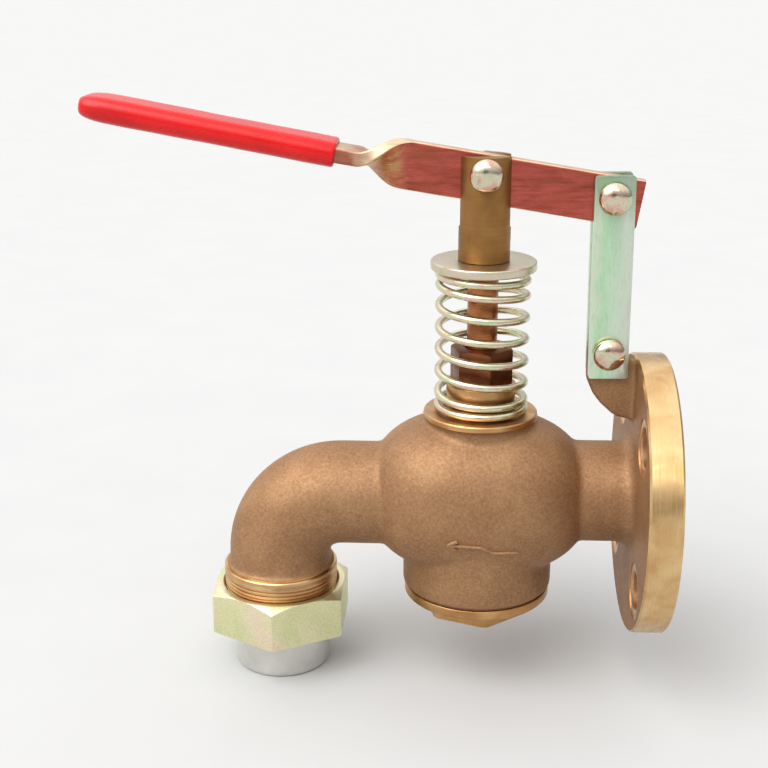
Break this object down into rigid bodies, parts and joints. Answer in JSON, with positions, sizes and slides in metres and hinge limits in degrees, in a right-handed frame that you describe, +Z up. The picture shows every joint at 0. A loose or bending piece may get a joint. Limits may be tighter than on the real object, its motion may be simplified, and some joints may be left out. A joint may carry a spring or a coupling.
{
  "type": "seacock valve",
  "caption": "Self-closing flanged bronze drain valve: a spring shuts it, a hand lever opens it, and its elbow outlet ends in a union nut with a weld tailpiece.",
  "frame": {"origin": "centre of the inlet flange's mating face", "axes": "+X out of the flange's mating face, +Z up along the stem, +Y across the valve; the pin heads face -Y and the lever's grip points to -X"},
  "size_m": [0.2807, 0.14, 0.2921],
  "materials": {
    "body": "sand-cast bronze, shot-blasted; machined rim, collar and threads",
    "bottom_cap": "machined bronze",
    "cap_gasket": "matt fibre",
    "disc_nut": "machined",
    "fork_head": "machined, tarnished",
    "fork_pin": "bright zinc plate",
    "fork_pin_cotter": "zinc plate",
    "fork_pin_washer": "zinc plate",
    "gland_follower": "machined",
    "gland_nut": "machined, tarnished",
    "grip": "glossy dipped plastic",
    "lever": "yellow-red passivated zinc plate",
    "link_front": "green-grey passivated zinc plate",
    "link_pin": "bright zinc plate",
    "link_pin_cotter": "zinc plate",
    "link_pin_washer": "zinc plate",
    "link_rear": "green-grey passivated zinc plate",
    "lug_pin": "bright zinc plate",
    "lug_pin_cotter": "zinc plate",
    "lug_pin_washer": "zinc plate",
    "packing": "graphited braid",
    "seat_ring": "machined",
    "spring": "yellow-green passivated zinc plate",
    "spring_washer": "yellow passivated zinc plate",
    "stem": "turned bronze",
    "stem_bush": "machined",
    "tailpiece": "bare steel",
    "union_gasket": "matt fibre",
    "union_nut": "cast and machined, pale yellow-green plate",
    "valve_disc": "machined"
  },
  "bodies": {
    "valve_body": {"body": "body", "seat_ring": "seat_ring", "stem_bush": "stem_bush", "packing_ring_1": "packing", "packing_ring_2": "packing", "packing_ring_3": "packing", "gland_follower": "gland_follower", "gland_nut": "gland_nut", "spring": "spring", "lug_pin": "lug_pin", "lug_pin_washer": "lug_pin_washer", "lug_pin_cotter": "lug_pin_cotter", "bottom_cap": "bottom_cap", "cap_gasket": "cap_gasket", "tailpiece": "tailpiece", "union_gasket": "union_gasket"},
    "stem_group": {"stem": "stem", "valve_disc": "valve_disc", "disc_nut": "disc_nut", "spring_washer": "spring_washer", "fork_head": "fork_head", "fork_pin": "fork_pin", "fork_pin_washer": "fork_pin_washer", "fork_pin_cotter": "fork_pin_cotter"},
    "lever_group": {"lever": "lever", "grip": "grip"},
    "link_group": {"link_front": "link_front", "link_rear": "link_rear", "link_pin": "link_pin", "link_pin_washer": "link_pin_washer", "link_pin_cotter": "link_pin_cotter"},
    "union_nut_group": {"union_nut": "union_nut"}
  },
  "joints": [
    {"name": "stem_lift", "type": "slide", "parent": "valve_body", "child": "stem_group", "axis": [0, 0, -1], "range_m": [0, 0.01], "stiffness_N_per_m": 5300, "springref_m": -0.025, "deforming": ["spring"]},
    {"name": "lever_hinge", "type": "hinge", "parent": "stem_group", "child": "lever_group", "pos_m": [-0.09126, 0, 0.1602], "axis": [0, -1, 0], "range_deg": [0, 9.6]},
    {"name": "link_swing", "type": "hinge", "parent": "valve_body", "child": "link_group", "pos_m": [-0.0304, 0, 0.074], "axis": [0, 1, 0], "range_deg": [0, 0.9]},
    {"name": "union_nut_turn", "type": "hinge", "parent": "valve_body", "child": "union_nut_group", "pos_m": [-0.1926, 0, -0.065], "axis": [0, 0, 1], "continuous": true}
  ],
  "couplings": [
    {"joint": "lever_hinge", "follows": "stem_lift", "rad_per_m": 16.58},
    {"joint": "link_swing", "follows": "stem_lift", "rad_per_m": 1.35}
  ]
}
